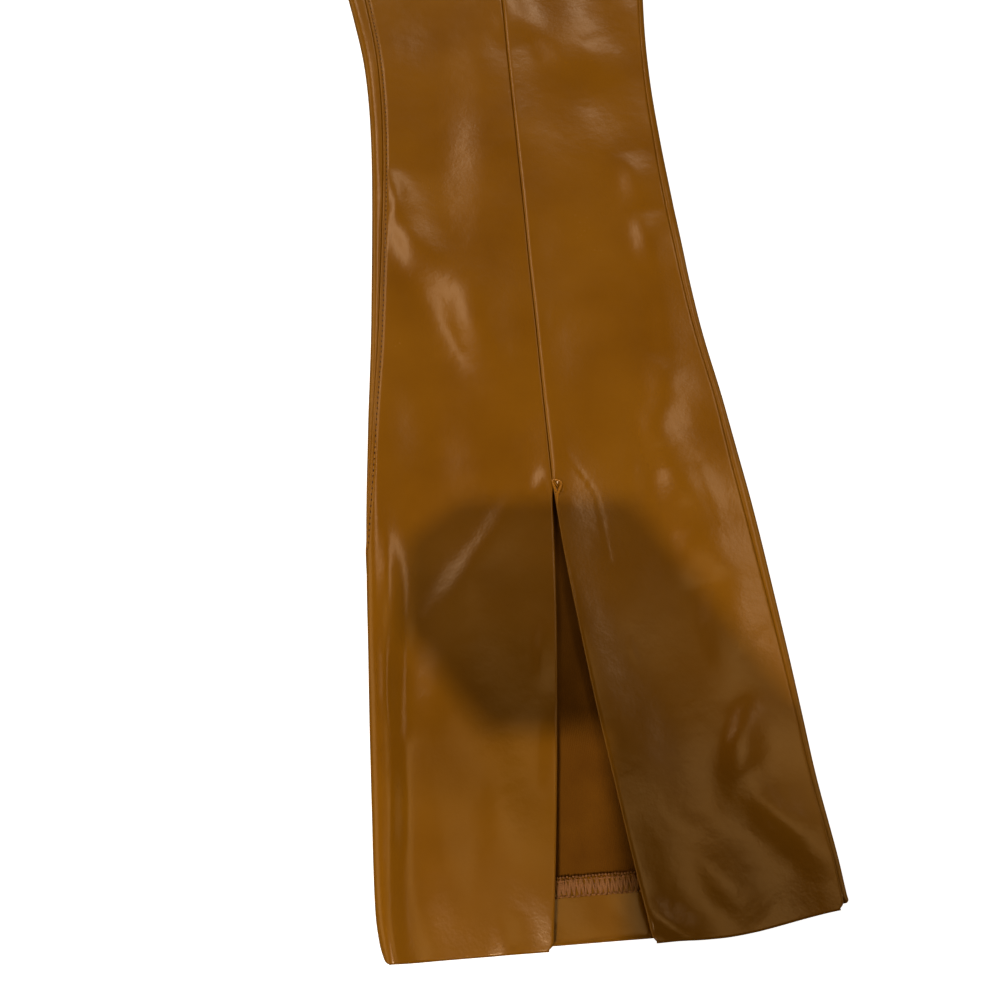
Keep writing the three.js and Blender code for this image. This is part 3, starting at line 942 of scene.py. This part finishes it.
def overlock(leg):
    """Threads over the raw edge: two zigzags, a part of a step apart, and four rows along it."""
    chance = np.random.default_rng(3)
    starts = []
    ends = []
    edge = INSEAM - TURN_UP - 0.3
    count = int(HEM_ACROSS / LOOP_PITCH)
    for step, lower in LOOP_LAYERS:
        high = edge + lower
        for loop in range(count * 2):
            place = (loop + step) * LOOP_PITCH / 2
            rising = loop % 2 == 0
            over = LOOP_HIGH + chance.normal(0, 0.3)
            downs = (high + over, high) if rising else (high, high + over)
            starts.append((downs[0], place + chance.normal(0, 0.18)))
            ends.append((downs[1], place + LOOP_PITCH / 2 + chance.normal(0, 0.18)))
    for below, pitch in NEEDLE_ROWS:
        for loop in range(int(HEM_ACROSS / pitch)):
            starts.append((edge + below + chance.normal(0, 0.12), loop * pitch))
            ends.append((edge + below + chance.normal(0, 0.12), (loop + 0.85) * pitch))
    starts = np.array(starts)
    ends = np.array(ends)
    first, _ = hem_surface(leg, starts[:, :1], starts[:, 1:] / HEM_ACROSS)
    last, _ = hem_surface(leg, ends[:, :1], ends[:, 1:] / HEM_ACROSS)
    first = first[:, 0]
    last = last[:, 0]
    centres = (first + last) / 2
    centres[:, 2] += LOOP_RADIUS * 0.55
    ways = last - first
    lengths = np.linalg.norm(ways, axis=-1) * 1.08
    return stitches(f"overlock_{leg}", leg, centres, ways, lengths, LOOP_RADIUS, LOOP_THREAD)


for leg in ("left", "right"):
    turn_up = turned_hem(leg)
    loops = overlock(leg)


# Waistband, a plain pull-on band in two halves that meet at the side seams.
def waistband(face):
    direction = 1 if face == "front" else -1
    past = edge_run()
    top = PANEL_TOP - BAND
    start = top + EDGE_TURN
    end = PANEL_TOP - EDGE_TURN
    down = np.concatenate([start - past[::-1], np.linspace(start, end, 15), end + past])[:, None]
    row = level(np.clip(down, top, PANEL_TOP))
    seam = reach_of(row, "outer", row["outseam"])
    centre = direction * (row["outer_arc"] + row["width"] - row["outer_depth"])
    edge = seam + direction * EDGE_TURN
    if direction > 0:
        run = edge + (centre - edge) * np.linspace(0, 1, 60)
        low, high = seam, FAR
    else:
        rest = -row["outer_arc"] - OUTER_REST
        roll = edge + (rest - edge) * np.linspace(0, 1, 11)[:-1]
        run = np.concatenate([roll, rest + (centre - rest) * np.linspace(0, 1, 50)], -1)
        low, high = -FAR, seam
    reach = np.concatenate([edge - direction * past[::-1], run], -1)
    half = cloth("left", down, "outer", reach, low, high, top, PANEL_TOP + CORNER)
    half[..., 1] += SEAM_GAP
    half[:, -1, 0] = 0
    other = half[:, -2::-1] * np.array([-1, 1, 1])
    points = np.concatenate([half, other], 1)
    from_centre = np.abs(centre - reach)
    round_it = np.concatenate([-from_centre, from_centre[:, -2::-1]], 1)
    places = np.stack([round_it, np.broadcast_to(down, round_it.shape)], -1)
    piece = sheet_of_cloth(f"waistband_{face}_half", points, places, "left", direction < 0)
    piece.data.materials.append(COATED)
    thicken(piece, CLOTH, BACKING)
    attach(piece, root)
    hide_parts(f"waistband_{face}")
    return piece


waistband("front")
waistband("back")

# Table top, light and camera. The camera stands over the lower left leg as in the photo: 428 mm
# above the leather, 24 degrees from straight down, turned so that the leg runs 4.27 degrees off.
LENS_PER_SENSOR = 1.05
PITCH = math.radians(24.0)
HEIGHT = 428.0
LEG_TURN = math.radians(4.2736)
LEATHER_LEVEL = 5.5
HEM_FROM_CAMERA = np.array([19.845, 5.2985])
HEM_PLACE = (788.0, -18.0)
turn = SPLAY - LEG_TURN
spin = np.array([[math.cos(turn), -math.sin(turn)], [math.sin(turn), math.cos(turn)]])
hem_point = leg_point(np.array(HEM_PLACE[0]), np.array(HEM_PLACE[1]))
stand = hem_point - spin @ HEM_FROM_CAMERA
right = Vector((*spin[:, 0], 0))
forward = Vector((*spin[:, 1], 0))
up = forward * math.cos(PITCH) + Vector((0, 0, math.sin(PITCH)))
view = forward * math.sin(PITCH) - Vector((0, 0, math.cos(PITCH)))

camera_data = bpy.data.cameras.new("camera")
camera_data.sensor_width = 36
camera_data.lens = 36 * LENS_PER_SENSOR
camera_data.clip_start = 0.01
camera = bpy.data.objects.new("camera", camera_data)
eye = (stand[0] * MM, stand[1] * MM, (HEIGHT + LEATHER_LEVEL) * MM)
camera.matrix_world = Matrix.Translation(eye) @ Matrix((right, up, -view)).transposed().to_4x4()
bpy.context.scene.collection.objects.link(camera)
bpy.context.scene.camera = camera

floor_mesh = bpy.data.meshes.new("floor")
plane = bmesh.new()
bmesh.ops.create_grid(plane, x_segments=1, y_segments=1, size=4.0)
plane.to_mesh(floor_mesh)
plane.free()
floor = bpy.data.objects.new("floor", floor_mesh)
bpy.context.scene.collection.objects.link(floor)
pale = new_material("white table")
finish_material(pale, {"Base Color": grey(0.6), "Roughness": 0.9, "Specular IOR Level": 0.0,
                       "Emission Color": grey(1.0), "Emission Strength": 1.0})
floor.data.materials.append(pale)
floor.visible_diffuse = False
floor.visible_glossy = False


def over_leg(x, y, z):
    """A place over the leg in the photo's own directions: right, up the picture and up."""
    flat = stand + spin @ np.array([x, y])
    return Vector((flat[0] * MM, flat[1] * MM, z * MM))


def lamp(name, place, aim, size, power, colour):
    light = bpy.data.lights.new(name, "AREA")
    light.shape = "RECTANGLE"
    light.size = size[0]
    light.size_y = size[1]
    light.energy = power
    light.color = colour
    lit = bpy.data.objects.new(name, light)
    lit.location = place
    lit.rotation_mode = "QUATERNION"
    lit.rotation_quaternion = (aim - place).to_track_quat("-Z", "Y")
    bpy.context.scene.collection.objects.link(lit)
    return lit


BLACK = new_material("black card")
finish_material(BLACK, {"Base Color": grey(0.0), "Roughness": 1.0, "Specular IOR Level": 0.0})
WARM = (1.0, 0.82, 0.62)
AMBER = (1.0, 0.74, 0.36)
focus = over_leg(0, 200, 0)
ROOM_LAMP = np.array([-283.0, -350.0, 1000.0])
lamp("room_lamp", over_leg(*ROOM_LAMP), focus, (0.19, 0.19), 7.9, WARM)
lamp("window_left", over_leg(-850, 1850, 1900), over_leg(-850, 1850, 0), (0.5, 1.7), 13, WARM)
lamp("window_right", over_leg(1120, 1500, 2000), over_leg(1120, 1500, 0), (0.4, 1.5), 8.5, WARM)
lamp("window_near", over_leg(250, 370, 2000), over_leg(250, 370, 0), (1.0, 0.28), 1.3, AMBER)
lamp("window_corner", over_leg(500, 190, 2000), over_leg(500, 190, 0), (0.7, 0.45), 2.3, AMBER)
lamp("window_far", over_leg(500, 3900, 2300), focus, (0.6, 0.5), 5.5, WARM)
lamp("wall_left", over_leg(-1500, 250, 420), over_leg(0, 250, 300), (2.6, 0.8), 10, AMBER)
lamp("wall_right", over_leg(1500, 250, 420), over_leg(0, 250, 300), (2.6, 0.8), 6, AMBER)
CARD_HIGH = 60.0


def card(name, low, high, cuts=()):
    """A black card that keeps the room lamp off the leather between two corners, in the photo's
    directions. Each cut is a line from one place to another, with nothing kept on its left."""
    mesh = bpy.data.meshes.new(name)
    sheet = bmesh.new()
    bmesh.ops.create_grid(sheet, x_segments=1, y_segments=1, size=0.5)
    for corner in sheet.verts:
        share = np.array([corner.co.x + 0.5, corner.co.y + 0.5])
        place = np.array(low) + (np.array(high) - np.array(low)) * share
        corner.co = (place[0], place[1], 0)
    for cut in cuts:
        start = Vector((*cut[0], 0))
        run = Vector((*cut[1], 0)) - start
        everything = sheet.verts[:] + sheet.edges[:] + sheet.faces[:]
        bmesh.ops.bisect_plane(sheet, geom=everything, plane_co=start, plane_no=(-run.y, run.x, 0),
                               clear_outer=True)
    part = CARD_HIGH / ROOM_LAMP[2]
    for corner in sheet.verts:
        flat = np.array(corner.co.xy)
        flat = flat + (ROOM_LAMP[:2] - flat) * part
        corner.co = over_leg(flat[0], flat[1], CARD_HIGH)
    sheet.to_mesh(mesh)
    sheet.free()
    mesh.materials.append(BLACK)
    flag = bpy.data.objects.new(name, mesh)
    flag.visible_camera = False
    flag.visible_diffuse = False
    flag.visible_glossy = False
    bpy.context.scene.collection.objects.link(flag)
    return flag


card("card_across", (-40, 90), (140, 194), cuts=[
    ((60, 194), (125, 102)),
    ((-2, 88), (-44, 138)),
    ((-44, 170), (-14, 196)),
])
card("card_down", (41, -60), (200, 104), cuts=[((54, -62), (43, 96))])

world = bpy.data.worlds.new("studio")
world.use_nodes = True
world.node_tree.nodes["Background"].inputs["Color"].default_value = (1.0, 0.77, 0.27, 1)
world.node_tree.nodes["Background"].inputs["Strength"].default_value = 0.136
bpy.context.scene.world = world
bpy.context.scene.view_settings.view_transform = "Standard"
